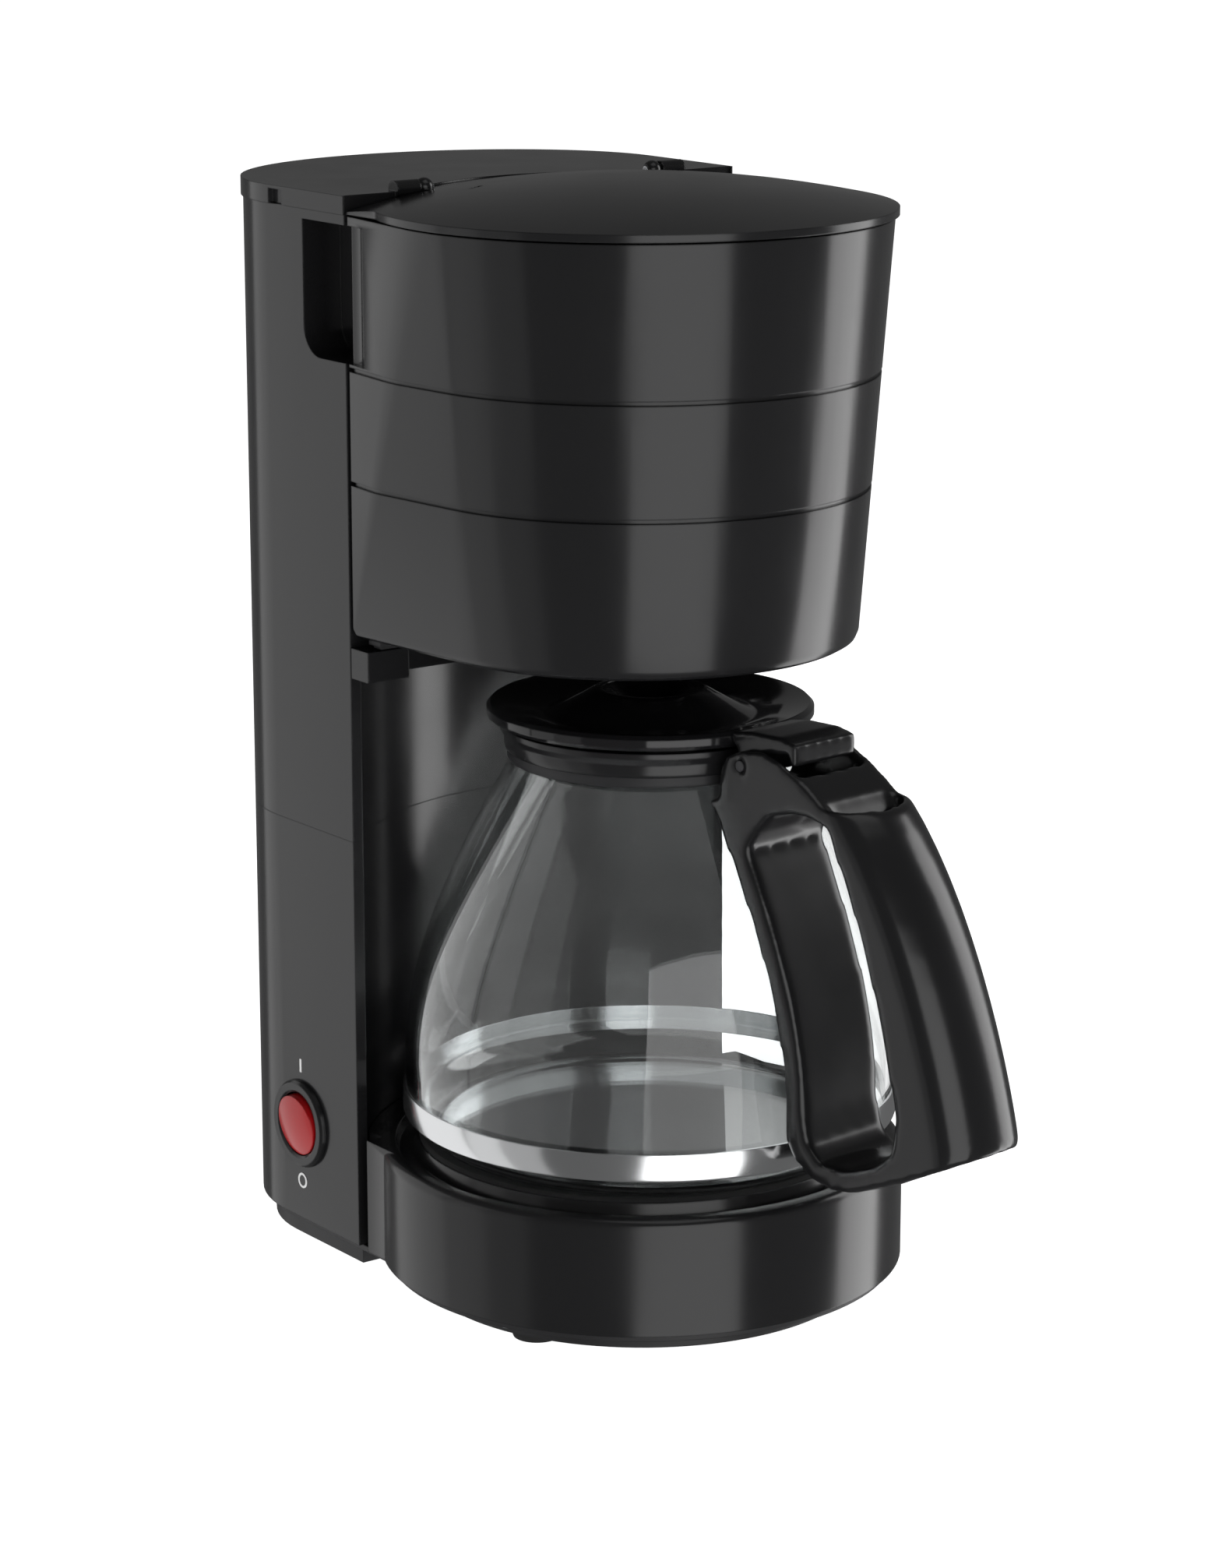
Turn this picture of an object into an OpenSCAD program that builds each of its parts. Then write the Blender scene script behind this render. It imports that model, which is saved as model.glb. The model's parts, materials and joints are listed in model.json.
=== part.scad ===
// Drip coffee maker: rear water tower, swing-out brew basket under a hinged domed lid,
// warming plate and a glass carafe whose handle stands a few degrees off straight.
// Millimetres, +Z up. The feet stand on z = 0 and +Y points to the back of the tower.

/* [Overall] */
// Height to the top of the rear cover
overall_h = 325; // [300:1:400]
// Radius of the round base
base_r = 78; // [76:0.5:96]
// Half of the tower's width
tower_hw = 69.5; // [66:0.5:84]
// Distance from the centre of the base to the back of the tower
tower_back = 145; // [135:1:175]
// Depth of the rounded part of the tower's back
arch_depth = 55; // [40:1:66]
// Distance from the centre of the base to the tower's front corners
tower_front = 48.8; // [46:0.1:50]

/* [Housing] */
// Wall of the moulded housings
wall = 2.5; // [2:0.1:3.5]
// Height of the rubber feet under the bottom plate
foot_h = 2.5; // [2:0.5:5]
// Bottom edge of the outer shells
shell_z = 10; // [8:0.5:12]
// Top of the base's rim
base_top = 45; // [42:0.5:50]
// Radius of the hollow wall behind the carafe
bay_r = 84.5; // [83:0.5:88]
// Height of the seam between the lower and upper housings
seam_z = 135.5; // [120:0.5:160]
// Thickness of the rear cover with its rim
cover_h = 5.4; // [4.5:0.1:8]
// Length, height and depth of the finger recess beside the basket
recess_l = 22; // [16:1:28]
// Height of the finger recess
recess_h = 39.5; // [30:0.5:48]
// Depth of the finger recess
recess_d = 13; // [10:0.5:16]

/* [Brew basket] */
// Radius of the basket at its top
drum_top_r = 74.3; // [70:0.1:76]
// Radius of the basket at its bottom
drum_low_r = 65.2; // [62:0.1:70]
// Height of the top band above the first groove
top_band_h = 43; // [36:0.5:55]
// Height of the middle band
mid_band_h = 33; // [25:0.5:40]
// Gap between the carafe's lid and the outlet spout
spout_gap = 8; // [6:0.5:14]
// Height of the outlet spout under the basket
spout_h = 9; // [6:0.5:12]
// Wall of the basket
drum_wall = 2.2; // [1.8:0.1:3]
// Radius of the pin that the basket swings on
pivot_r = 2.5; // [2:0.1:3]
// Radius of the filter insert's cone at its top
filter_r = 46; // [38:0.5:47]

/* [Lid] */
// How far the lid stands out past the basket
lid_overhang = 1.2; // [0.5:0.1:3]
// Rise of the lid's dome above its rim
lid_rise = 8; // [5:0.5:14]
// Thickness of the lid
lid_t = 2.2; // [1.8:0.1:3]
// Radius of the lid's rear tongue
tongue_r = 64; // [60:0.5:66]

/* [Carafe] */
// Largest radius of the glass
carafe_r = 72.4; // [60:0.2:74]
// Radius of the glass neck
neck_r = 40.5; // [32:0.5:46]
// Height of the glass
glass_h = 122; // [110:1:150]
// Thickness of the glass
glass_t = 2.2; // [1.8:0.1:3]
// Distance from the carafe's axis to the back of the grip
grip_reach = 139; // [130:1:150]
// Half of the handle's width
handle_hw = 16; // [13:0.5:18]
// Angle that the carafe's handle is turned to the right of straight
carafe_turn = 6.5; // [0:0.5:15]

/* [Switch] */
// Radius of the rocker button
rocker_r = 9.4; // [7:0.2:11]
// Height of the rocker's centre
rocker_z = 40.5; // [34:0.5:60]
// Tilt of the rocker when it is off
rocker_tilt = 7; // [4:0.5:10]

/* [Hidden] */

fit = 0.3;                 // gap between pieces that only sit beside each other
run = 0.05;                // radial clearance of a pin that turns in a bore
eps = 0.01;
round_fn = 96;
$fn = 64;

black = "#1b1b1d";
housing_top = overall_h - cover_h;
arch_y = tower_back - arch_depth;
arch_n = 40;
carafe_y = -4;             // the carafe stands a little forward on the plate
plate_top = base_top + 2.5;
bottom_z = foot_h;

// Carafe heights, from the plate up
glass_z = plate_top + fit;
band_z = glass_z + 8;
band_h = 8;
neck_z = glass_z + glass_h - 6.5;
glass_top = glass_z + glass_h;
lid_rim_z = glass_top + 4.6;
lid_rim_h = 4.5;
lid_rim_r = neck_r + 7.3;
carafe_top = lid_rim_z + lid_rim_h;

// Basket heights
drum_bottom = carafe_top + spout_gap + spout_h + 1;
drum_top = housing_top - 0.4;
drum_y = 3.8;
drum_hw = tower_hw - 0.3;
drum_back = tower_front - 1.3;
ledge_z = drum_bottom - 12;
drum_fillet = 3;
groove_h = 1.3;
groove_d = 0.9;
groove_1 = drum_top - top_band_h;
groove_2 = groove_1 - mid_band_h;

// Hinges
hinge_y = tower_front + 1.2;
hinge_z = overall_h + 0.6;
knuckle_r = 2.5;
knuckle_in = 39.7;
knuckle_out = 51.7;
pivot_corner = 8;
pivot_x = drum_hw - pivot_corner;
pivot_y = drum_back - pivot_corner;

// Shower arm
arm_r = 5;
arm_z = drum_top - 22;
riser_y = arch_y + 8;
riser_r = 5;
tube_r = 5;
tube_ring_r = 42;
plate_under = plate_top - 1.3;
tube_z = plate_under - fit - tube_r;
bracket_top = tube_z - tube_r - fit;
hose_r = 6.2;
hose_z = 20;
tank_floor = seam_z + 16;
tank_t = 1.8;
inlet_y = riser_y;

y_shift = (grip_reach * cos(carafe_turn) - carafe_y - tower_back) / 2;

// Points on a cubic Bezier curve
function bez(a, b, c, d, n) =
    [for (i = [0:n]) let (t = i / n)
        pow(1 - t, 3) * a + 3 * pow(1 - t, 2) * t * b + 3 * (1 - t) * t * t * c + t * t * t * d];

// Plan of the tower, drawn in by d: straight sides and a half-ellipse at the back
function arch(d) =
    concat([[-(tower_hw - d), tower_front + d], [tower_hw - d, tower_front + d]],
           [for (i = [0:arch_n]) let (a = 180 * i / arch_n)
               [(tower_hw - d) * cos(a), arch_y + (arch_depth - d) * sin(a)]]);

module up(z) translate([0, 0, z]) children();
module slab(z, h) up(z) linear_extrude(h) children();
module flat_plan(d) polygon(arch(d));
module bay_plan(d) difference() {
    polygon(arch(d));
    translate([0, carafe_y]) circle(bay_r + d, $fn = round_fn);
}
module mirror_pair() for (s = [-1, 1]) scale([s, 1, 1]) children();
module box_mid(size) translate([-size[0] / 2, 0, 0]) cube(size);

// A bent pipe: straight runs with a slightly proud ball at each bend
module pipe(pts, r, fn = 32) {
    for (i = [0:len(pts) - 2]) {
        v = pts[i + 1] - pts[i];
        l = norm(v);
        translate(pts[i])
            rotate([0, acos(v[2] / l), atan2(v[1], v[0])]) cylinder(r = r, h = l, $fn = fn);
    }
    for (i = [1:1:len(pts) - 2]) translate(pts[i]) sphere(r + 0.3, $fn = fn);
}

// ---- Base ----

function base_profile() = concat(
    [[base_r, shell_z], [base_r, base_top - 3]],
    [for (i = [1:6]) [base_r - 3 + 3 * cos(15 * i), base_top - 3 + 3 * sin(15 * i)]],
    [[base_r - 4.5, base_top], [base_r - 5.5, base_top - 3], [base_r - 9.5, base_top - 3],
     [base_r - 11, plate_top - 1.2], [base_r - 16, plate_top - 1.2],
     [base_r - 16, base_top - 8], [base_r - 13, base_top - 8], [base_r - 12, base_top - 5.6],
     [base_r - wall, base_top - 5.6], [base_r - wall, shell_z]]);

// Plan of the base behind its ring: side blocks and the floor that meets the hollow wall
module base_link_plan(d) {
    translate([-tower_hw - 0.7 + d, 0]) square([2 * (tower_hw + 0.7 - d), tower_front - 6 - d]);
    intersection() {
        translate([0, carafe_y]) circle(bay_r - fit - d, $fn = round_fn);
        translate([-tower_hw + 5 + d, 0]) square([2 * (tower_hw - 5 - d), tower_back]);
    }
}

module base_housing() color(black) difference() {
    union() {
        rotate_extrude($fn = round_fn) polygon(base_profile());
        difference() {
            slab(shell_z, base_top - shell_z) base_link_plan(0);
            slab(shell_z - 1, base_top - shell_z - 1.6) base_link_plan(wall);
            up(shell_z - 1) cylinder(r = base_r - wall + eps, h = base_top, $fn = round_fn);
        }
        // screw posts, joined to the outer wall by a rib
        for (a = base_screw_angles) rotate(a) translate([base_r - wall - 6, 0, 0]) {
            slab(shell_z, base_top - shell_z - 5.4) circle(4, $fn = 24);
            slab(shell_z + 10, base_top - shell_z - 15.4) translate([0, -1]) square([6.5, 2]);
        }
    }
    for (a = base_screw_angles) rotate(a) translate([base_r - wall - 6, 0, shell_z - 1])
        cylinder(r = 1.4 + eps, h = 15, $fn = 24);
    // way through to the tower for the hoses and wires
    translate([0, tower_front, shell_z - 1]) box_mid([88, 42, 26]);
}
base_screw_angles = [200, 270, 340];

screw_x = tower_hw - 14;
screw_y = arch_y + 14;
module lower_housing() color(black) difference() {
    union() {
        mirror_pair() slab(shell_z, 24) {
            translate([screw_x, screw_y]) circle(4.5, $fn = 32);
            translate([screw_x, screw_y - 1.2]) square([9.8, 2.4]);
        }
        difference() {
            slab(shell_z, seam_z - shell_z) bay_plan(0);
            slab(shell_z - 1, seam_z - shell_z + 2) bay_plan(wall);
        }
        // lap joint inside the seam
        difference() {
            union() {
                slab(seam_z - 6, 6) bay_plan(wall - eps);
                slab(seam_z - eps, 4) bay_plan(wall + 0.25);
            }
            slab(seam_z - 7, 12) bay_plan(wall + 1.5);
        }
    }
    mirror_pair() translate([screw_x, screw_y, shell_z - 1]) cylinder(r = 1.5 + eps, h = 15, $fn = 24);
    // way through to the base for the hoses and wires
    translate([0, tower_front + 10, shell_z - 1]) box_mid([88, 40, 26]);
    // hole for the switch in the left side
    translate([-tower_hw - 1, switch_y, rocker_z]) rotate([0, 90, 0])
        cylinder(r = rocker_r + 2.6, h = wall + 2);
    // hole for the cord gland in the back
    translate([0, tower_back + 1, gland_z]) rotate([90, 0, 0]) cylinder(r = gland_r, h = wall + 4);
}
switch_y = tower_front + 31;
gland_r = 5.5;
gland_z = shell_z + 24;

module recess_cut(d) {
    r = 9;
    z0 = housing_top - 3 - recess_h;
    translate([-tower_hw + recess_d + d, 0, 0]) rotate([0, -90, 0])
        linear_extrude(recess_d + d + (d > 0 ? -0.5 : 1)) {
            translate([z0 - d + r, tower_front - (d > 0 ? 0 : 1)])
                square([recess_h + 2 * d - r, recess_l + d + (d > 0 ? 0 : 1)]);
            translate([z0 - d, tower_front - (d > 0 ? 0 : 1)])
                square([recess_h, recess_l + d - r + (d > 0 ? 0 : 1)]);
            translate([z0 - d + r, tower_front + recess_l + d - r]) circle(r, $fn = 32);
        }
}

bracket_l = 14.5;
module bracket(y) slab(ledge_z, 9) translate([-bracket_l, y])
    square([bracket_l - 0.2, tower_front + wall - y]);
module brackets() {
    translate([tower_hw, 0]) bracket(pivot_y - 7);
    translate([-tower_hw + bracket_l + 0.2, 0]) bracket(tower_front - 9);
}

module pivot_ear() slab(drum_top - 8, 4) {
    translate([pivot_x, pivot_y]) circle(6, $fn = 48);
    translate([pivot_x - 6, pivot_y]) square([12, tower_front + 1 - pivot_y]);
}

module upper_housing() color(black) difference() {
    union() {
        difference() {
            union() {
                slab(seam_z, ledge_z - seam_z) bay_plan(0);
                slab(ledge_z, housing_top - ledge_z) flat_plan(0);
            }
            slab(seam_z - 1, ledge_z + wall - seam_z + 1) bay_plan(wall);
            slab(ledge_z + wall - eps, overall_h) flat_plan(wall);
        }
        recess_cut(2);
        brackets();
        pivot_ear();
    }
    recess_cut(0);
    // mouth that the lid's tongue swings into
    translate([0, tower_front - 1, arm_z + arm_r + 3]) box_mid([2 * knuckle_in + 8, wall + 2, 40]);
    // hole for the shower arm
    arm_rod(tower_front - carafe_y - 3, tower_front - carafe_y + 9, arm_r + fit);
    // bores for the basket's pivot pin
    translate([pivot_x, pivot_y, ledge_z + 2]) cylinder(r = pivot_r + eps, h = overall_h);
}

module cover_plan(d) difference() {
    polygon(arch(d - 0.7));
    translate([0, drum_y]) circle(tongue_r + 0.4 + d, $fn = round_fn);
    translate([-tower_hw, 0]) square([2 * tower_hw, tower_front]);
}
module rear_cover() color(black) difference() {
    union() {
        difference() {
            slab(housing_top + eps, cover_h) cover_plan(0);
            slab(housing_top - 1, cover_h - 1.2) cover_plan(2);
        }
        // lip that locates the cover inside the housing
        difference() {
            slab(housing_top - 4, 7.6) flat_plan(wall + fit);
            slab(housing_top - 5, 9) flat_plan(wall + fit + 1.4);
            translate([0, tower_front - 1, housing_top - 5]) box_mid([2 * tower_hw, 26, 9]);
        }
        // hinge knuckles on the front edge
        mirror_pair() translate([knuckle_in + 3.8, hinge_y, hinge_z]) rotate([0, 90, 0])
            cylinder(r = knuckle_r, h = knuckle_out - knuckle_in - 3.8);
        mirror_pair() translate([knuckle_in + 3.8, hinge_y, overall_h - 2])
            cube([knuckle_out - knuckle_in - 3.8, knuckle_r + 1, 1.8]);
    }
    mirror_pair() translate([knuckle_in, hinge_y, hinge_z]) rotate([0, 90, 0])
        cylinder(r = 1.25 + eps, h = knuckle_out - knuckle_in - 2);
    mirror_pair() translate([knuckle_in + 1.4, hinge_y, hinge_z]) sphere(knuckle_r + 0.9, $fn = 32);
    // latch notches in the side rims
    mirror_pair() translate([tower_hw - 1, tower_front + 32, housing_top]) cube([4, 7, cover_h - 1]);
}

module bottom_plan(d) {
    circle(base_r - 11.3 - d, $fn = round_fn);
    polygon(arch(4 + d));
    translate([-base_r * 0.7 + d, 0]) square([1.4 * base_r - 2 * d, tower_front + 10]);
}
module flange_plan() {
    circle(base_r - 2, $fn = round_fn);
    polygon(arch(2));
    translate([-tower_hw + 2, 0]) square([2 * (tower_hw - 2), tower_front + 10]);
}
tray_top = shell_z - fit;
module bottom_plate() color(black) difference() {
    union() {
        difference() {
            union() {
                slab(bottom_z, tray_top - bottom_z) bottom_plan(0);
                slab(tray_top - 1.8, 1.8) flange_plan();
            }
            slab(bottom_z + 2, shell_z) bottom_plan(2);
        }
        mirror_pair() translate([screw_x, screw_y, bottom_z]) cylinder(r = 5, h = tray_top - bottom_z);
    }
    mirror_pair() translate([screw_x, screw_y, bottom_z - 1]) {
        cylinder(r = 3.4, h = 3.5);
        cylinder(r = 1.8, h = 20, $fn = 24);
    }
    for (a = base_screw_angles) rotate(a) translate([base_r - wall - 6, 0, 0])
        cylinder(r = 1.8, h = shell_z * 2, $fn = 24);
    for (x = [-24:12:24]) translate([x, tower_front + 24, bottom_z + 1]) cube([4, 30, 6], center = true);
    for (p = foot_spots) translate([p[0], p[1], bottom_z - 1]) cylinder(r = 3 + eps, h = 6);
}

foot_spots = [for (s = [-1, 1]) each [[s * 54, -21.5], [s * 34, tower_back - 30]]];
module rubber_feet() color("#2a2a2a") for (p = foot_spots) translate([p[0], p[1], 0]) {
    cylinder(r1 = 7, r2 = 8, h = foot_h);
    up(foot_h - eps) cylinder(r = 3, h = 4);
    up(foot_h + 2.2) cylinder(r = 4.4, h = 1.8);
}

// ---- Heating ----

module plate_gasket() color("#262626") rotate_extrude($fn = round_fn)
    polygon([[base_r - 11.5, plate_top - 1.2], [base_r - 12.5, plate_top - 0.1],
             [base_r - 15.8, plate_top - 0.1], [base_r - 15.8, plate_top - 1.2]]);

module warming_plate() color("#303033") rotate_extrude($fn = round_fn)
    polygon([[0, plate_top - 1.3], [0, plate_top], [base_r - 17.5, plate_top],
             [base_r - 16.2, plate_top - 1.5], [base_r - 16.2, plate_top - 4],
             [base_r - 17.5, plate_top - 4], [base_r - 17.5, plate_top - 1.5],
             [base_r - 18, plate_top - 1.3]]);

module ring_arc(rc, r, z) up(z) rotate([0, 0, 115]) rotate_extrude(angle = 310, $fn = round_fn)
    translate([rc, 0]) circle(r, $fn = 32);

module heater_tube() color("#b9bcc0") {
    ring_arc(tube_ring_r, tube_r, tube_z);
    for (s = [-1, 1]) {
        sx = s * tube_ring_r * cos(65);
        sy = tube_ring_r * sin(65);
        translate([sx, sy, tube_z]) sphere(tube_r + 0.05, $fn = 32);
        translate([sx, sy, tube_z - tube_stub]) cylinder(r = tube_r, h = tube_stub, $fn = 32);
    }
}

element_r = 3.4;
element_ring_r = tube_ring_r + tube_r + element_r + 0.1;
module heating_element() color("#8a8f94") {
    ring_arc(element_ring_r, element_r, plate_under - element_r);
    for (s = [-1, 1])
        translate([s * element_ring_r * cos(65), element_ring_r * sin(65) - 1, plate_under - element_r])
            rotate([-90, 0, 0]) cylinder(r = 1.6, h = 9, $fn = 24);
}

module heater_bracket() color("#9a9ea3") {
    difference() {
        up(bracket_top - 1.5) union() {
            box_mid_y(2 * bracket_l2, 16, 1.5);
            box_mid_y(16, 2 * bracket_l2, 1.5);
        }
        up(bracket_top - 3) cylinder(r = 2, h = 5, $fn = 24);
    }
    for (a = [0:90:270]) rotate(a) translate([bracket_l2 - 2.5, 0, bracket_top - 0.5])
        cylinder(r = 2, h = plate_under - bracket_top + 0.5, $fn = 24);
}
bracket_l2 = element_ring_r + element_r + 5.5;
module box_mid_y(x, y, z) translate([-x / 2, -y / 2, 0]) cube([x, y, z]);

stat_z = plate_under - 5.5;
module thermostat() color("#d8d2c4") {
    up(stat_z) cylinder(r = 8, h = 5.5);
    up(bracket_top) cylinder(r = 3.2, h = stat_z - bracket_top + 0.1);
    mirror_pair() translate([5, -3, stat_z - 2]) cube([1, 6, 2.2]);
}

module thermal_fuses() color("#c9b98a") for (s = [-1, 1]) translate([s * 22, -6, plate_under - 2.3])
    rotate([-90, 0, 0]) {
        cylinder(r = 2.3, h = 12, $fn = 24);
        up(-7) cylinder(r = 0.8, h = 26, $fn = 16);
    }

tube_stub = 16;
tube_end_x = tube_ring_r * cos(65);
tube_end_y = tube_ring_r * sin(65);
hose_top = tube_z - 7;

module hose(x, top) difference() {
    pipe([[x, tube_end_y, hose_top], [x, tube_end_y, hose_z], [x, inlet_y, hose_z],
          [x, inlet_y, top]], hose_r);
    translate([x, tube_end_y, tube_z - tube_stub]) cylinder(r = tube_r + eps, h = tube_stub, $fn = 32);
}
module inlet_hose() color("#d9d5cf") hose(-tube_end_x, check_z);
module outlet_hose() color("#d9d5cf") hose(tube_end_x, riser_start);
check_z = tube_z + 40;
riser_start = tube_z + 36;

module check_valve() color("#e8e6e0") translate([-tube_end_x, inlet_y, check_z]) {
    cylinder(r = 7, h = 14);
    up(4) cylinder(r = 8.5, h = 5);
    up(13) cylinder(r = 5, h = tank_floor - check_z - 10);
}

module hose_clamps() color("#a8acb0") for (s = [-1, 1])
    translate([s * tube_end_x, tube_end_y, hose_top - 5]) difference() {
        union() {
            cylinder(r = hose_r + 0.8, h = 4);
            translate([-2, hose_r - 0.5, 0]) cube([4, 4, 4]);
        }
        up(-1) cylinder(r = hose_r + eps, h = 7);
    }

module riser_tube() color("#d5d7d9") {
    translate([tube_end_x, inlet_y, riser_start]) cylinder(r = riser_r, h = arm_z - riser_start, $fn = 32);
    translate([tube_end_x, inlet_y, arm_z]) sphere(riser_r + 0.6, $fn = 32);
}

// The arm runs straight from the riser's elbow to the middle of the basket
arm_angle = atan2(tube_end_x, inlet_y - carafe_y);
arm_len = norm([tube_end_x, inlet_y - carafe_y]);
module arm_rod(a, b, r) translate([0, carafe_y, arm_z]) rotate([-90, 0, -arm_angle])
    up(a) cylinder(r = r, h = b - a, $fn = 32);
module shower_arm() color("#2a2a2d") difference() {
    arm_rod(-6, arm_len - riser_r - 0.65, arm_r);
    arm_rod(-3.5, 40, 3);
    translate([0, carafe_y, arm_z - arm_r - 1]) cylinder(r = 2.5, h = arm_r, $fn = 32);
}

head_z = arm_z - arm_r - 5.5;
module shower_head() color("#2a2a2d") difference() {
    translate([0, carafe_y, head_z]) {
        cylinder(r1 = 13, r2 = 9, h = 5);
        up(4) cylinder(r = 5.5, h = 4);
    }
    for (i = [0:7]) translate([0, carafe_y, head_z]) rotate(45 * i) translate([8, 0, -1])
        cylinder(r = 1, h = 3.5, $fn = 16);
    arm_rod(-10, 12, arm_r + eps);
}

// ---- Water ----

module tank_block(d, z0, z1) {
    slab(z0, ledge_z + wall + fit + d - z0) bay_plan(wall + fit + d);
    slab(ledge_z + wall + fit + d - eps, z1 - ledge_z - wall - fit - d) flat_plan(wall + fit + d);
}
module tank_recess(d)
    translate([-tower_hw, 0, housing_top - 3 - recess_h - 2 - fit - d])
        cube([recess_d + 2 + fit + d, tower_front + recess_l + 2 + fit + d, recess_h + 30]);
module water_tank() color("#4c5052") difference() {
    tank_block(0, tank_floor, housing_top - 5);
    difference() {
        tank_block(tank_t, tank_floor + tank_t, overall_h);
        tank_recess(tank_t);
        translate([tube_end_x, inlet_y, tank_floor]) cylinder(r = riser_r + 2.6, h = 8);
    }
    tank_recess(0);
    translate([-tube_end_x, inlet_y, tank_floor - 1]) cylinder(r = 5 + 1.6, h = tank_t + 2);
    translate([tube_end_x, inlet_y, tank_floor - 1]) cylinder(r = riser_r + 1.2, h = 12);
    // mouth for the lid's tongue and the shower arm
    translate([0, tower_front, arm_z + arm_r + 3]) box_mid([2 * knuckle_in + 8, 8, 60]);
    arm_rod(tower_front - carafe_y - 3, tower_front - carafe_y + 9, arm_r + fit);
}

module tank_seals() color("#7d3b2e") {
    translate([-tube_end_x, inlet_y, tank_floor - 1.5]) difference() {
        union() { cylinder(r = 6.6, h = tank_t + 3); cylinder(r = 8, h = 1.4); }
        up(-1) cylinder(r = 5, h = 9);
    }
    translate([tube_end_x, inlet_y, tank_floor - 1.5]) difference() {
        union() { cylinder(r = riser_r + 1.2, h = 10); cylinder(r = riser_r + 3, h = 1.4); }
        up(-1) cylinder(r = riser_r, h = 13);
    }
}

// ---- Electrics ----

module cord_gland() color("#202020") translate([0, tower_back, gland_z]) rotate([90, 0, 0])
    difference() {
        union() {
            up(-0.4) cylinder(r = gland_r - 0.1, h = wall + 3);
            up(wall + 0.3) cylinder(r = gland_r + 1.8, h = 2);
        }
        up(-2) cylinder(r = 3, h = 12);
    }

terminal_y = tower_back - 46;
module terminal_block() color("#d8d4c8") translate([0, terminal_y, bottom_z + 2 + eps]) difference() {
    box_mid([30, 12, 8.5]);
    for (x = [-9, 0, 9]) translate([x, 6, 4]) cylinder(r = 2.2, h = 12, $fn = 24);
}

wire_r = 1.3;
module wiring() color("#7a1f1f") {
    pipe([[-9, terminal_y - 1.35, 10], [-28, terminal_y - 15, 10], [-46, switch_y + 8, rocker_z - 6],
          [-tower_hw + 22, switch_y + 2, rocker_z - 2]], wire_r, 10);
    pipe([[9, terminal_y - 1.35, 10], [28, 72, 14], [31, 50, 22], [24, 15, 26],
          [16, 15, bracket_top - 2], [11.5, 10, bracket_top + 3], [8, 3, bracket_top + 3.2]], wire_r, 10);
}

module at_switch() translate([-tower_hw, switch_y, rocker_z]) rotate([0, -90, 0]) children();
module switch_body() color("#17171a") at_switch() difference() {
    up(-20) cylinder(r = rocker_r + 2.3, h = 20);
    up(-12) cylinder(r = rocker_r + 0.6, h = 13);
    for (y = [-5, 5]) translate([-2, y - 0.5, -21]) cube([4, 1, 3]);
}
module switch_bezel() color("#141416") at_switch() difference() {
    rotate_extrude() polygon([[rocker_r + 0.5, eps], [rocker_r + 4.4, eps], [rocker_r + 4.2, 1.1],
                              [rocker_r + 3.4, 1.9], [rocker_r + 1.3, 1.9], [rocker_r + 0.5, 1.3]]);
}
// Generic on and off symbols above and below the switch
module switch_marks() color("#e8e8e8") at_switch() {
    translate([rocker_r + 9, 0, 0.01]) translate([-2.1, -0.45, 0]) cube([4.2, 0.9, 0.15]);
    translate([-rocker_r - 9, 0, 0.01]) difference() {
        cylinder(r = 2.4, h = 0.15, $fn = 48);
        up(-1) cylinder(r = 1.7, h = 3, $fn = 48);
    }
}
module switch_rocker() color("#a81414") at_switch() rotate([0, -rocker_tilt, 0]) {
    difference() {
        union() {
            up(-4) cylinder(r = rocker_r, h = 5.6);
            intersection() {
                up(-4) cylinder(r = rocker_r, h = 9);
                translate([0, 0, 3.4 - 40]) sphere(40, $fn = 96);
            }
        }
        up(-6) cylinder(r = rocker_r - 1.6, h = 5.5);
    }
    rotate([90, 0, 0]) cylinder(r = 1.4, h = 2 * rocker_r - 2, center = true, $fn = 24);
}

// ---- Screws ----

module screw(l, r) {
    cylinder(r = r, h = l, $fn = 24);
    difference() {
        up(-1.8) cylinder(r = 2 * r, h = 1.8, $fn = 32);
        up(-2) for (a = [0, 90]) rotate(a) box_mid_y(2.4 * r, 0.5, 1.2);
    }
}
module housing_screws() color("#8c8c8c") {
    for (s = [-1, 1]) translate([s * screw_x, screw_y, bottom_z + 2.5]) screw(12, 1.5);
}
module base_screws() color("#8c8c8c")
    for (a = base_screw_angles) rotate(a) translate([base_r - wall - 6, 0, tray_top - 1.8]) screw(12, 1.4);

// ---- Lid ----

lid_r = drum_top_r + lid_overhang;
lid_z = housing_top + 0.2;
lid_edge = 2.2;
dome_r = (lid_r * lid_r + lid_rise * lid_rise) / (2 * lid_rise);

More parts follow.
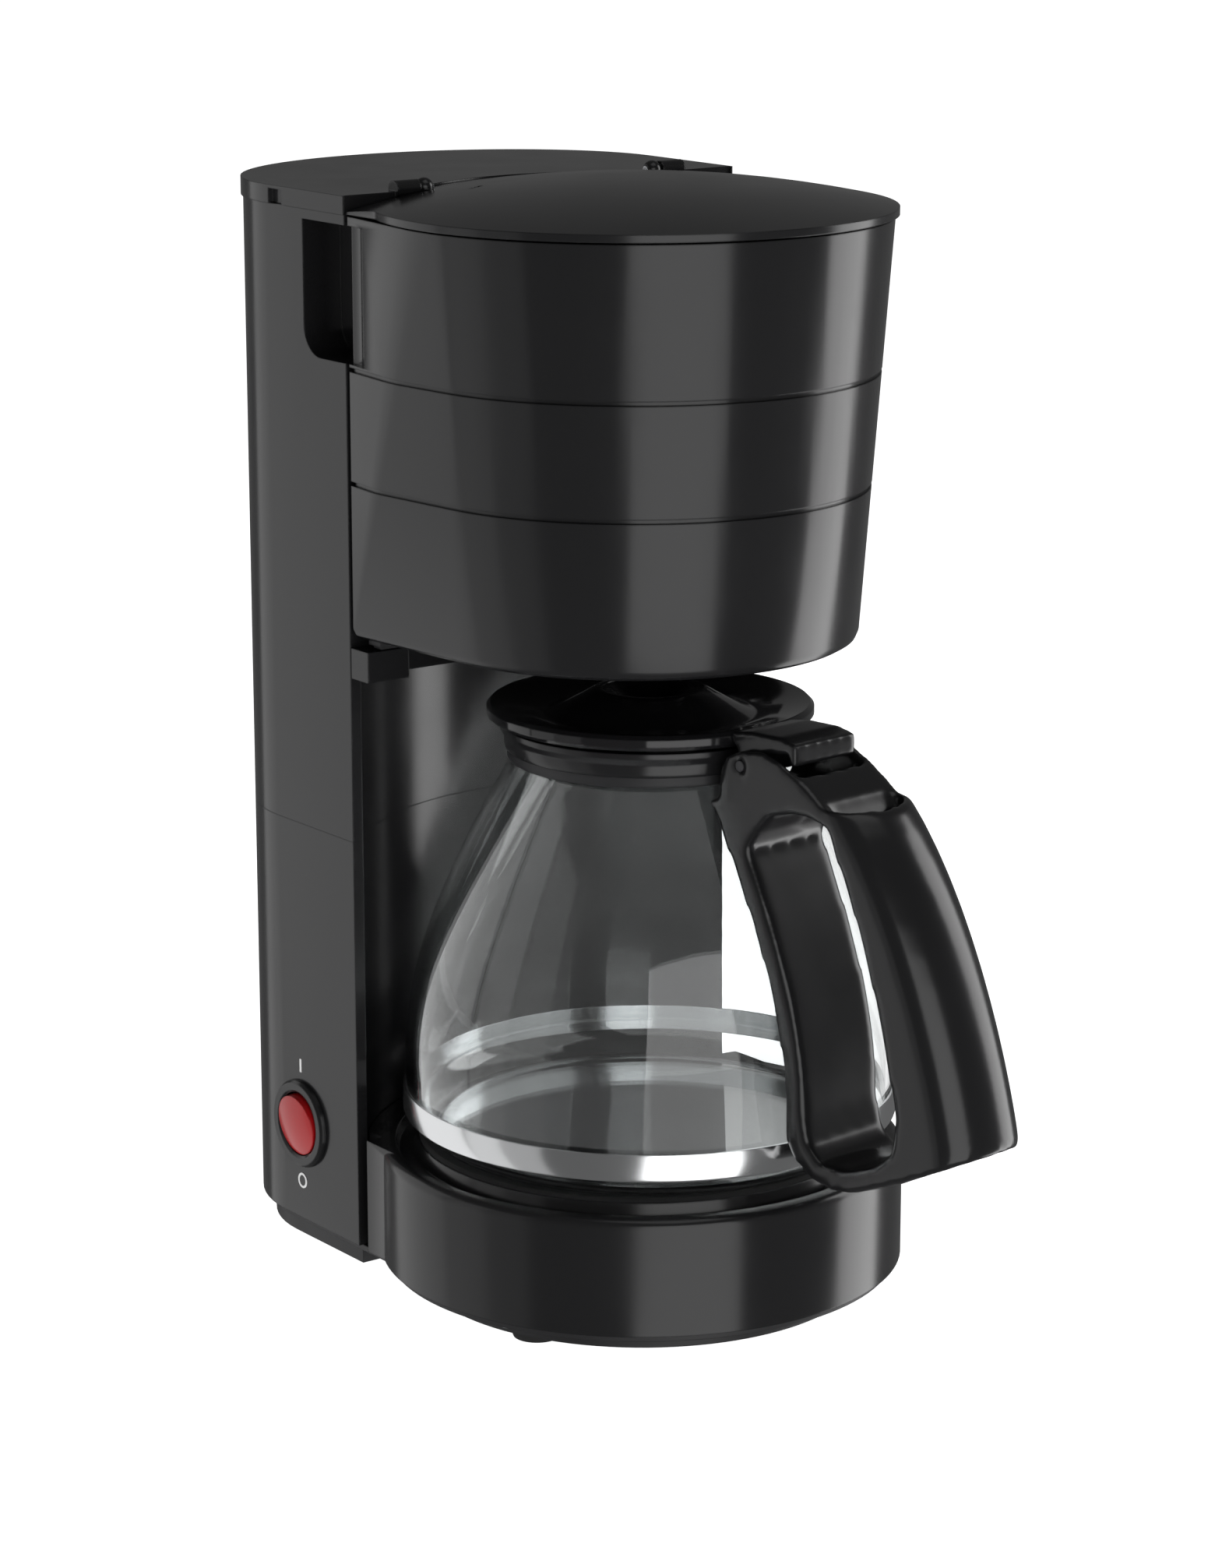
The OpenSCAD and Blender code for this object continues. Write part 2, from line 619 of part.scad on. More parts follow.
module lid_plan(d) difference() {
    union() {
        circle(lid_r - d, $fn = round_fn);
        polygon([[-lid_r * 0.94, drum_y - 26], [-tower_hw + d, drum_back - drum_y - d],
                 [tower_hw - d, drum_back - drum_y - d], [lid_r * 0.94, drum_y - 26]]);
    }
    // behind the hinge line only the tongue is left
    difference() {
        translate([-100, drum_back - drum_y - d]) square([200, 100]);
        intersection() {
            circle(tongue_r - d, $fn = round_fn);
            translate([-knuckle_in + 0.4 + d, 0]) square([2 * (knuckle_in - 0.4 - d), 100]);
        }
    }
}
module dome(d) translate([0, drum_y, lid_z + lid_edge + lid_rise - dome_r])
    sphere(dome_r - d, $fn = 180);
module filter_lid() color(black) difference() {
    union() {
        difference() {
            intersection() {
                slab(lid_z, lid_rise + lid_edge + 1) translate([0, drum_y]) lid_plan(0);
                dome(0);
            }
            intersection() {
                slab(lid_z - 1, lid_rise + lid_edge + 1) translate([0, drum_y]) lid_plan(1.8);
                dome(lid_t);
            }
        }
        mirror_pair() translate([knuckle_in + 1.4, hinge_y, hinge_z]) sphere(knuckle_r + 0.3, $fn = 32);
        mirror_pair() translate([knuckle_in - 1.4, hinge_y - 5, overall_h - 2.2]) cube([4.2, 5.4, 2.4]);
    }
    mirror_pair() translate([knuckle_in - 2, hinge_y, hinge_z]) rotate([0, 90, 0])
        cylinder(r = 1.25 + run, h = 8, $fn = 32);
    // room for the cover's knuckles
    mirror_pair() translate([knuckle_in + 3.6, hinge_y, hinge_z]) rotate([0, 90, 0])
        cylinder(r = knuckle_r + 0.4, h = 30, $fn = 32);
    // steam slot
    translate([-38, drum_y + 24.5, lid_z]) rotate(20) cube([5, 1.6, 20], center = true);
}

module lid_hinge_pins() color("#b0b3b6") mirror_pair()
    translate([knuckle_in - 1.2, hinge_y, hinge_z]) rotate([0, 90, 0])
        cylinder(r = 1.25, h = knuckle_out - knuckle_in - 1.2, $fn = 32);

// Thin disc clipped under the dome that keeps steam off the hinge
module steam_shield() color("#26262a") translate([0, drum_y, 0]) {
    slab(lid_z + 1.0, 1.2) difference() {
        circle(lid_r - 14, $fn = round_fn);
        circle(18, $fn = 48);
        translate([-100, tower_front - drum_y - 6]) square([200, 100]);
    }
    for (a = [190, 230, 270, 310, 350]) rotate(a) translate([lid_r - 22, 0, lid_z + 2])
        cylinder(r = 2.2, h = shield_post, $fn = 24);
}
shield_post = lid_edge + lid_rise - dome_r + sqrt(pow(dome_r - lid_t, 2) - pow(lid_r - 19.8, 2)) - 2;

// ---- Brew basket ----

// One thin slice of the basket: round in front, straight across at the back
module drum_slice(z, r, d, h = 0.02) slab(z, h) {
    intersection() {
        translate([0, drum_y]) circle(r - d, $fn = round_fn);
        translate([-150, drum_back - d - 300]) square([300, 300]);
    }
    translate([-drum_hw + d, drum_back - d - 1]) square([2 * (drum_hw - d), 1]);
}
function drum_r_at(z) =
    drum_low_r + (drum_top_r - drum_low_r) * (z - drum_bottom) / (drum_top - drum_bottom);
module drum_core(d, h) hull() {
    drum_slice(drum_bottom + drum_fillet, drum_r_at(drum_bottom + drum_fillet), d);
    drum_slice(drum_top - 0.02, drum_top_r, d, h);
}
module drum_outside() hull() {
    drum_slice(drum_bottom, drum_low_r, drum_fillet * 0.8);
    drum_slice(drum_bottom + drum_fillet * 0.35, drum_r_at(drum_bottom), drum_fillet * 0.2);
    drum_slice(drum_bottom + drum_fillet, drum_r_at(drum_bottom + drum_fillet), 0);
    drum_slice(drum_top - 0.02, drum_top_r, 0);
}
// Shallow scoop for the fingers in the left end of the top band
module dimple(d) translate([-drum_hw - 10.4, drum_back - 2, housing_top - 3 - recess_h - d])
    cylinder(r = 12 + d, h = recess_h + 2 * d, $fn = 48);
// Rounds the basket's corner about the pin, so that it turns clear of the tower
module pivot_round() difference() {
    translate([pivot_x, pivot_y, drum_bottom - 1]) cube([30, 30, overall_h]);
    translate([pivot_x, pivot_y, drum_bottom - 2]) cylinder(r = pivot_corner, h = overall_h);
}
outlet_r = 14;
valve_r = 4;
spout_z = drum_bottom - spout_h;
module basket_housing() color(black) difference() {
    union() {
        difference() {
            drum_outside();
            difference() {
                drum_core(drum_wall, 1);
                dimple(drum_wall);
            }
        }
        // boss for the pivot pin, and the rounded corner about it
        translate([pivot_x, pivot_y, ledge_z + 9 + fit])
            cylinder(r = pivot_r + 3, h = arm_z - ledge_z - 21);
        translate([pivot_x, pivot_y, drum_bottom]) difference() {
            cylinder(r = pivot_corner, h = drum_top - drum_bottom - 12);
            up(drum_wall + 0.5) cylinder(r = pivot_corner - drum_wall, h = overall_h);
            translate([-20, -20, -1]) cube([20, 40, overall_h]);
            translate([-20, -20, -1]) cube([40, 20, overall_h]);
        }
        // outlet spout
        translate([0, carafe_y, spout_z]) cylinder(r1 = outlet_r - 2, r2 = outlet_r, h = spout_h + 1);
        // ribs that the filter insert rests on
        for (a = [205, 245, 295, 335]) rotate_about_drum(a) translate([flange_r - 4, -1, filter_z - rib_h])
            cube([drum_r_at(filter_z - rib_h) - drum_wall - flange_r + 4.5, 2, rib_h]);
        for (x = [-44, 34]) translate([x, drum_back - drum_wall - 5, filter_z - rib_h])
            cube([2, 5.5, rib_h]);
    }
    pivot_round();
    // grooves between the bands
    difference() {
        for (z = [groove_1, groove_2])
            slab(z - groove_h, groove_h) square([300, 300], center = true);
        drum_core(groove_d, 0.02);
    }
    // inside of the spout, the bore for the valve's stem and the drain holes round it
    translate([0, carafe_y, spout_z + 3]) cylinder(r = outlet_r - 4, h = spout_h + 4);
    translate([0, carafe_y, spout_z - 1]) cylinder(r = valve_r + run, h = 10);
    for (a = [30:60:330]) translate([0, carafe_y, spout_z - 1]) rotate(a) translate([6.3, 0, 0])
        cylinder(r = 1.1, h = 6, $fn = 16);
    // bore for the pivot pin
    translate([pivot_x, pivot_y, ledge_z]) cylinder(r = pivot_r + run, h = overall_h);
    // room in the back for the shower arm, the lid's tongue and the pin's upper ear
    translate([-30, drum_back - 6, arm_z - arm_r - 7]) cube([48, 12, 60]);
    translate([-knuckle_in - 5, drum_back - 4, drum_top - 13.5]) cube([2 * knuckle_in + 10, 12, 60]);
    translate([pivot_x, pivot_y, drum_top - 9]) cylinder(r = 10.5, h = 60);
    dimple(0);
}
module rotate_about_drum(a) translate([0, drum_y, 0]) rotate(a) children();

filter_z = arm_z - arm_r - 9.5;
filter_low = drum_bottom + 4;
flange_r = drum_r_at(filter_z) - drum_wall - 1;
rib_h = 16;
module filter_insert() color("#2c2c2f") {
    slab(filter_z, 2) difference() {
        intersection() {
            translate([0, drum_y]) circle(flange_r, $fn = round_fn);
            translate([-drum_hw + drum_wall + 1, -100])
                square([2 * (drum_hw - drum_wall - 1), 99 + drum_back - drum_wall]);
        }
        translate([0, carafe_y]) circle(filter_r - 1, $fn = round_fn);
        translate([pivot_x, pivot_y]) circle(pivot_r + 3.6, $fn = 48);
    }
    translate([0, carafe_y, 0]) {
        rotate_extrude($fn = round_fn) polygon([
            [filter_r + 1, filter_z + 1], [filter_r - 1.2, filter_z + 1],
            [24, filter_low + 3], [8, filter_low + 1.8], [8, filter_low], [25, filter_low + 1],
            [filter_r + 1, filter_z - 2]]);
        // ribs that hold the paper off the wall
        for (i = [0:11]) rotate(30 * i + 15) rotate([90, 0, 0]) linear_extrude(1.2, center = true)
            polygon([[24, filter_low + 2.4], [21.5, filter_low + 3.2], [filter_r - 5, filter_z - 8],
                     [filter_r - 2.4, filter_z - 5]]);
    }
}

catch_y = drum_back - 9;
module basket_catch() color("#2c2c2f") translate([-drum_hw + 3.4, catch_y, drum_bottom - 1.6]) {
    cube([9, 6, 1.6]);
    translate([1, 1, -0.9]) cube([7, 4, 1]);
}

valve_low = spout_z - 2.5;
seal_t = 1.6;
seal_z = spout_z + 3.1;
module drip_valve() color("#3a3a3d") translate([0, carafe_y, 0]) {
    up(valve_low + 1) cylinder(r = valve_r, h = filter_low - valve_low - 7);
    up(seal_z + seal_t) cylinder(r = 8, h = 2);
    up(valve_low) cylinder(r1 = valve_r - 1, r2 = valve_r, h = 1);
}
module valve_seal() color("#b5472e") translate([0, carafe_y, seal_z]) difference() {
    cylinder(r = 8.5, h = seal_t);
    up(-1) cylinder(r = valve_r, h = 6);
}
spring_z = seal_z + seal_t + 2;
module valve_spring() color("#c4c7ca") translate([0, carafe_y, spring_z]) {
    n = 4;
    gap = (filter_low - spring_z - 1) / (n - 1);
    for (i = [0:n - 1]) up(0.5 + i * gap) rotate_extrude($fn = 48) translate([9, 0]) circle(0.5, $fn = 16);
    for (i = [0:n - 2]) rotate(120 * i) translate([9, 0, 0.5 + i * gap]) cylinder(r = 0.4, h = gap, $fn = 12);
}

module basket_pivot_pin() color("#b0b3b6")
    translate([pivot_x, pivot_y, ledge_z + 2 + eps])
        cylinder(r = pivot_r, h = drum_top - 6.5 - ledge_z, $fn = 48);

// ---- Carafe ----

module at_carafe() translate([0, carafe_y, 0]) rotate([0, 0, carafe_turn]) children();
// Draws a side view, with the distance from the carafe's axis first and the height second
module side_view(w) rotate([90, 0, -90]) linear_extrude(w, center = true) children();

body_z = glass_z + 14;
function glass_wall(d) = bez([carafe_r - d, body_z], [carafe_r - d, body_z + 20],
                             [carafe_r + 2.9 - d, body_z + 39.5], [neck_r - d, neck_z - 1], 22);
function glass_foot(d) = [for (i = [0:7]) let (a = -90 + 90 * i / 7)
    [carafe_r - 13 + (13 - d) * cos(a), glass_z + 13 + (13 - d) * sin(a)]];
module glass_outline(d) polygon(concat([[0, glass_z + d]], glass_foot(d), glass_wall(d),
    [[neck_r - 1 - d, neck_z + 2], [neck_r - 1 - d, glass_top + (d > 0 ? 9 : 0)],
     [0, glass_top + (d > 0 ? 9 : 0)]]));
module carafe_glass() color("#c8d2d4", 0.35) at_carafe() rotate_extrude($fn = round_fn) difference() {
    glass_outline(0);
    glass_outline(glass_t);
}

module base_band() color("#c6c9cc") at_carafe() rotate_extrude($fn = round_fn)
    polygon([[carafe_r + eps, band_z], [carafe_r + 0.75, band_z], [carafe_r + 0.95, band_z + 0.6],
             [carafe_r + 0.95, band_z + band_h - 0.6], [carafe_r + 0.75, band_z + band_h],
             [carafe_r + eps, band_z + band_h]]);

collar_z = neck_z + 2.2;
module neck_collar() color("#202023") at_carafe() rotate_extrude($fn = round_fn)
    polygon([[neck_r - 1 + eps, collar_z], [neck_r + 1.8, collar_z], [neck_r + 2.2, collar_z + 1],
             [neck_r + 2.2, glass_top - 0.6], [neck_r + 3.4, glass_top + 1.4],
             [neck_r + 3.4, glass_top + 3], [neck_r - 1 + eps, glass_top + 3]]);
module neck_band() color("#55585b") at_carafe() rotate_extrude($fn = round_fn)
    polygon([[neck_r + eps, neck_z - 0.9], [neck_r + 1, neck_z - 0.9], [neck_r + 1.3, neck_z - 0.4],
             [neck_r + 1.3, collar_z], [neck_r + eps, collar_z]]);

// Outlines of the handle, each from bottom to top
grip_low = glass_z + 27;
grip_high = glass_top - 6;
function grip_curve(lo, mid_lo, mid_hi, hi) =
    bez([lo, grip_low], [mid_lo, grip_low + 25], [mid_hi, grip_high - 23], [hi, grip_high], ring_n);
ring_n = 12;
outer_curve = grip_curve(grip_reach, grip_reach - 5, grip_reach - 20, grip_reach - 42);
flat_curve = grip_curve(grip_reach - 10, grip_reach - 16, grip_reach - 30, grip_reach - 54);
inner_curve = grip_curve(grip_reach - 24, grip_reach - 28, grip_reach - 40, grip_reach - 57);

// D-shaped ring: square at the inner end, elliptical at the outer end
d_n = 12;
function d_ring(r_in, r_flat, r_out, hw, z) = concat(
    [[hw, -r_in, z], [-hw, -r_in, z]],
    [for (i = [0:d_n]) let (a = 180 * i / d_n)
        [-hw * cos(a), -r_flat - (r_out - r_flat) * sin(a), z]]);
module stack(rings) {
    n = len(rings[0]);
    m = len(rings);
    polyhedron(concat([for (r = rings) each r]),
        concat([[for (i = [0:n - 1]) i]],
               [for (k = [0:m - 2]) for (i = [0:n - 1])
                   [k * n + i, (k + 1) * n + i, (k + 1) * n + (i + 1) % n, k * n + (i + 1) % n]],
               [[for (i = [n - 1:-1:0]) (m - 1) * n + i]]));
}
module grip_envelope() stack([for (i = [-1:ring_n + 1])
    let (k = min(max(i, 0), ring_n),
         z = i < 0 ? glass_z : i > ring_n ? glass_top + 20 : outer_curve[k][1])
    d_ring(20, flat_curve[k][0], outer_curve[k][0], handle_hw, z)]);
module grip_hollow() stack([for (i = [-1:ring_n + 1])
    let (k = min(max(i, 0), ring_n),
         z = i < 0 ? glass_z : i > ring_n ? glass_top + 20 : outer_curve[k][1])
    d_ring(inner_curve[k][0] + 2.2, max(flat_curve[k][0] - 1, inner_curve[k][0] + 3.2),
           outer_curve[k][0] - 2.6, handle_hw - 2.8, z)]);

pin_r = neck_r + 12.3;
pin_z = glass_top + 1;
module handle_outline() polygon(concat(
    [[carafe_r - 24, glass_z + 40], [carafe_r - 1, glass_z + 17], [carafe_r + 3, glass_z + 12],
     [carafe_r + 10, glass_z + 7.6], [carafe_r + 18, glass_z + 6.4], [carafe_r + 26, glass_z + 7.6],
     [carafe_r + 44, glass_z + 15], [grip_reach - 12, glass_z + 20], [grip_reach + 1, grip_low - 0.5]],
    [for (p = outer_curve) [p[0] + 1, p[1]]],
    [[pin_r + 32, glass_top - 5.2], [pin_r + 24, glass_top + 0.2], [pin_r + 16, glass_top + 4.4],
     [pin_r + 8, glass_top + 6.6], [pin_r, glass_top + 5.8], [pin_r - 5.6, glass_top + 3.4],
     [pin_r - 8.4, glass_top - 1], [pin_r - 9, neck_z - 3], [neck_r - 6, neck_z - 6],
     [neck_r - 6, neck_z - 40]]));
module finger_outline() polygon(concat(
    [for (p = inner_curve) if (p[1] > grip_low + 4 && p[1] < grip_high - 9) p],
    [[pin_r + 34, grip_high - 5.3], [pin_r + 28, grip_high - 3.6], [pin_r + 20, grip_high - 3.5],
     [pin_r + 12, grip_high - 5.6], [pin_r + 7, grip_high - 10.5]],
    [for (i = [20:-1:4]) let (p = glass_wall(0)[i])
        if (p[1] < grip_high - 16) [p[0] + 6.5, p[1]]],
    [[carafe_r + 8, body_z + 4], [carafe_r + 13, body_z - 0.5], [carafe_r + 22, body_z - 0.5],
     [carafe_r + 33, body_z + 3.5], [carafe_r + 40, body_z + 9]]));
module carafe_handle() color(black) at_carafe() difference() {
    intersection() {
        side_view(2 * handle_hw + 2) handle_outline();
        grip_envelope();
    }
    side_view(60) finger_outline();
    grip_hollow();
    // clear of the glass, the band and the collar
    rotate_extrude($fn = round_fn) polygon(concat(
        [[0, glass_z - 5], [carafe_r + 0.95 + eps, glass_z - 5],
         [carafe_r + 0.95 + eps, band_z + band_h + 0.5]],
        [for (p = glass_wall(-0.4)) if (p[1] > band_z + band_h + 1) p],
        [[neck_r + 2.5, neck_z + 1], [neck_r + 2.5, glass_top - 0.7], [neck_r + 3.7, glass_top + 1.3],
         [neck_r + 3.7, glass_top + 3.3], [0, glass_top + 3.3]]));
    // slot for the lever between the cheeks
    translate([-handle_hw + 3, -pin_r - 21, glass_top - 7]) cube([2 * handle_hw - 6, pin_r + 11, 40]);
    translate([0, -pin_r, pin_z]) rotate([0, 90, 0]) cylinder(r = 1.6 + eps, h = 60, center = true, $fn = 32);
    translate([0, -carafe_r, band_z + band_h / 2]) rotate([90, 0, 0]) cylinder(r = 2 + eps, h = 7.3, $fn = 24);
}

module band_screw() color("#a9adb0") at_carafe()
    translate([0, -carafe_r - 1.2, band_z + band_h / 2]) rotate([90, 0, 0]) cylinder(r = 2, h = 6, $fn = 24);

module lid_pin() color("#b0b3b6") at_carafe() translate([0, -pin_r, pin_z]) rotate([0, 90, 0])
    cylinder(r = 1.6, h = 2 * handle_hw - 0.6, center = true, $fn = 32);

module lid_outline() polygon([
    [16, carafe_top + 3.6], [14, carafe_top + 3.6], [14, lid_rim_z - 2], [lid_rim_r - 12, lid_rim_z - 2],
    [lid_rim_r - 11, lid_rim_z - 0.6], [lid_rim_r - 1, lid_rim_z], [lid_rim_r, lid_rim_z + 1.2],
    [lid_rim_r, lid_rim_z + lid_rim_h - 1.2], [lid_rim_r - 1.2, lid_rim_z + lid_rim_h],
    [lid_rim_r - 4, lid_rim_z + lid_rim_h - 0.6], [lid_rim_r - 16, lid_rim_z + 1],
    [lid_rim_r - 18, lid_rim_z + 1]]);
module carafe_lid() color("#1c1c1f") at_carafe() {
    rotate_extrude($fn = round_fn) lid_outline();
    // skirt inside the neck
    difference() {
        up(glass_top - 8) cylinder(r = neck_r - glass_t - 1.6, h = lid_rim_z - glass_top + 7, $fn = round_fn);
        up(glass_top - 9) cylinder(r = neck_r - glass_t - 3.4, h = 40, $fn = round_fn);
    }
}
module thumb_lever() color(black) at_carafe() difference() {
    side_view(2 * handle_hw - 7) polygon([
        [lid_rim_r + 0.3, lid_rim_z + 0.2], [lid_rim_r + 1.2, pin_z - 3], [pin_r, pin_z - 3.6],
        [pin_r + 4, pin_z - 2], [pin_r + 8, pin_z + 4], [pin_r + 15.6, pin_z + 5.4],
        [pin_r + 16.6, pin_z + 2], [pin_r + 18.4, pin_z + 2], [pin_r + 18.4, pin_z + 8.2],
        [pin_r + 12, pin_z + 9.5], [pin_r, pin_z + 9.2], [lid_rim_r - 8, carafe_top - 0.9],
        [lid_rim_r - 18.5, carafe_top - 4.6], [lid_rim_r - 18.5, carafe_top - 5.2],
        [lid_rim_r - 1, lid_rim_z + 1.5]]);
    rotate_extrude($fn = round_fn) lid_outline();
    translate([0, -pin_r, pin_z]) rotate([0, 90, 0]) cylinder(r = 1.6 + run, h = 60, center = true, $fn = 32);
}
module lid_funnel() color("#1c1c1f") at_carafe() rotate_extrude($fn = round_fn) polygon([
    [14, carafe_top + 3.4], [12.6, carafe_top + 3.4], [4, lid_rim_z + 1], [4, lid_rim_z - 12],
    [5.6, lid_rim_z - 12], [5.6, lid_rim_z - 0.4], [14, lid_rim_z + 4]]);

// Everything is moved so that the origin lies under the middle of the whole object
module place() translate([0, y_shift, 0]) children();

place() base_housing();
place() lower_housing();
place() upper_housing();
place() rear_cover();
place() bottom_plate();
place() rubber_feet();
place() plate_gasket();
place() warming_plate();
place() heater_tube();
place() heating_element();
place() heater_bracket();
place() thermostat();
place() thermal_fuses();
place() inlet_hose();
place() check_valve();
place() outlet_hose();
place() hose_clamps();
place() riser_tube();
place() shower_arm();
place() shower_head();
place() water_tank();
place() tank_seals();
place() cord_gland();
place() terminal_block();
place() wiring();
place() switch_body();
place() switch_bezel();
place() switch_marks();
place() housing_screws();
place() base_screws();
place() lid_hinge_pins();
place() basket_pivot_pin();
place() switch_rocker();
place() filter_lid();
place() steam_shield();
place() basket_housing();
place() filter_insert();
place() basket_catch();
place() drip_valve();
place() valve_seal();
place() valve_spring();
place() carafe_glass();
place() neck_collar();
place() neck_band();
place() base_band();
place() carafe_handle();
place() band_screw();
place() lid_pin();
place() carafe_lid();
place() thumb_lever();
place() lid_funnel();
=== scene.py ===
import json
import math

import bmesh
import bpy
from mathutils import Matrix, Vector


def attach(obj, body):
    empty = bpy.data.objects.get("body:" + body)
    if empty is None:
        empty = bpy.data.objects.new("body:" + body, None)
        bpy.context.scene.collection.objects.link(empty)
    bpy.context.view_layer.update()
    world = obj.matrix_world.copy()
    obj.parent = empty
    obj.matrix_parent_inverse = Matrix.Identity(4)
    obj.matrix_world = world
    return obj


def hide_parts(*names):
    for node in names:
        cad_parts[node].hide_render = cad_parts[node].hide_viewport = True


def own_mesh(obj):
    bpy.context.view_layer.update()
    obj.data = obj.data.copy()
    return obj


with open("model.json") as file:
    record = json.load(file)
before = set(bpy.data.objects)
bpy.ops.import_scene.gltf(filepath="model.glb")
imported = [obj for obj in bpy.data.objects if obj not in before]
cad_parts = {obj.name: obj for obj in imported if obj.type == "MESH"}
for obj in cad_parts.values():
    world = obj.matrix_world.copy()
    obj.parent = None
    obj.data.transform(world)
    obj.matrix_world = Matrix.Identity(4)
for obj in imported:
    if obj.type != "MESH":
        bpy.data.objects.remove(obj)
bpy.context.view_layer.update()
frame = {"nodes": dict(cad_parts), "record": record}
record = frame["record"]
bodyOf = {n: b for b, names in record["behaviour"]["bodies"].items() for n in names}
slotOf = {s["node"]: s["material_slot"] for s in record["subparts"]}
print("frame loaded", len(bodyOf), "nodes")


def newGroup(name, inputs, outputs):
    group = bpy.data.node_groups.new(name, "ShaderNodeTree")
    for label, kind, default in inputs:
        socket = group.interface.new_socket(name=label, in_out="INPUT", socket_type=kind)
        if default is not None:
            socket.default_value = default
    for label, kind in outputs:
        group.interface.new_socket(name=label, in_out="OUTPUT", socket_type=kind)
    tree = group.nodes
    return group, tree.new("NodeGroupInput"), tree.new("NodeGroupOutput")


def addNode(tree, kind, **sockets):
    node = tree.nodes.new(kind)
    for label, value in sockets.items():
        node.inputs[label.replace("_", " ")].default_value = value
    return node


def mouldedGroup():
    # slow waviness, fine grain and softened edges
    group, src, out = newGroup(
        "mouldedSurface",
        [("Vector", "NodeSocketVector", None), ("Grain Scale", "NodeSocketFloat", 900.0),
         ("Grain Height", "NodeSocketFloat", 0.02), ("Wave Height", "NodeSocketFloat", 0.05),
         ("Edge Radius", "NodeSocketFloat", 0.0006), ("Rough Low", "NodeSocketFloat", 0.2),
         ("Rough High", "NodeSocketFloat", 0.3)],
        [("Roughness", "NodeSocketFloat"), ("Normal", "NodeSocketVector")])
    link = group.links.new
    wave = addNode(group, "ShaderNodeTexNoise", Scale=9.0, Detail=1.0)
    grain = addNode(group, "ShaderNodeTexNoise", Detail=2.0)
    smear = addNode(group, "ShaderNodeTexNoise", Scale=26.0, Detail=3.0, Roughness=0.6)
    for noise in (wave, grain, smear):
        link(src.outputs["Vector"], noise.inputs["Vector"])
    link(src.outputs["Grain Scale"], grain.inputs["Scale"])
    ramp = addNode(group, "ShaderNodeMapRange", From_Min=0.3, From_Max=0.7)
    link(smear.outputs["Fac"], ramp.inputs["Value"])
    link(src.outputs["Rough Low"], ramp.inputs["To Min"])
    link(src.outputs["Rough High"], ramp.inputs["To Max"])
    edge = group.nodes.new("ShaderNodeBevel")
    edge.samples = 4
    link(src.outputs["Edge Radius"], edge.inputs["Radius"])
    first = addNode(group, "ShaderNodeBump", Distance=0.002)
    link(src.outputs["Wave Height"], first.inputs["Strength"])
    link(wave.outputs["Fac"], first.inputs["Height"])
    link(edge.outputs["Normal"], first.inputs["Normal"])
    second = addNode(group, "ShaderNodeBump", Distance=0.0002)
    link(src.outputs["Grain Height"], second.inputs["Strength"])
    link(grain.outputs["Fac"], second.inputs["Height"])
    link(first.outputs["Normal"], second.inputs["Normal"])
    link(ramp.outputs["Result"], out.inputs["Roughness"])
    link(second.outputs["Normal"], out.inputs["Normal"])
    return group


def dustGroup():
    # faint lint on the faces that look up
    group, src, out = newGroup(
        "settledDust",
        [("Vector", "NodeSocketVector", None), ("Normal", "NodeSocketVector", None),
         ("Color", "NodeSocketColor", (0.02, 0.02, 0.02, 1.0)),
         ("Dust Color", "NodeSocketColor", (0.2, 0.19, 0.18, 1.0)),
         ("Amount", "NodeSocketFloat", 0.1)],
        [("Color", "NodeSocketColor")])
    link = group.links.new
    split = group.nodes.new("ShaderNodeSeparateXYZ")
    link(src.outputs["Normal"], split.inputs["Vector"])
    facing = addNode(group, "ShaderNodeMapRange", From_Min=0.5, From_Max=1.0)
    link(split.outputs["Z"], facing.inputs["Value"])
    specks = addNode(group, "ShaderNodeTexNoise", Scale=420.0, Detail=3.0, Roughness=0.7)
    link(src.outputs["Vector"], specks.inputs["Vector"])
    spots = addNode(group, "ShaderNodeMapRange", From_Min=0.62, From_Max=0.78)
    link(specks.outputs["Fac"], spots.inputs["Value"])
    both = group.nodes.new("ShaderNodeMath")
    both.operation = "MULTIPLY"
    link(facing.outputs["Result"], both.inputs[0])
    link(spots.outputs["Result"], both.inputs[1])
    scaled = group.nodes.new("ShaderNodeMath")
    scaled.operation = "MULTIPLY"
    link(both.outputs["Value"], scaled.inputs[0])
    link(src.outputs["Amount"], scaled.inputs[1])
    mix = group.nodes.new("ShaderNodeMix")
    mix.data_type = "RGBA"
    link(scaled.outputs["Value"], mix.inputs["Factor"])
    link(src.outputs["Color"], mix.inputs["A"])
    link(src.outputs["Dust Color"], mix.inputs["B"])
    link(mix.outputs["Result"], out.inputs["Color"])
    return group


moulded = mouldedGroup()
dust = dustGroup()


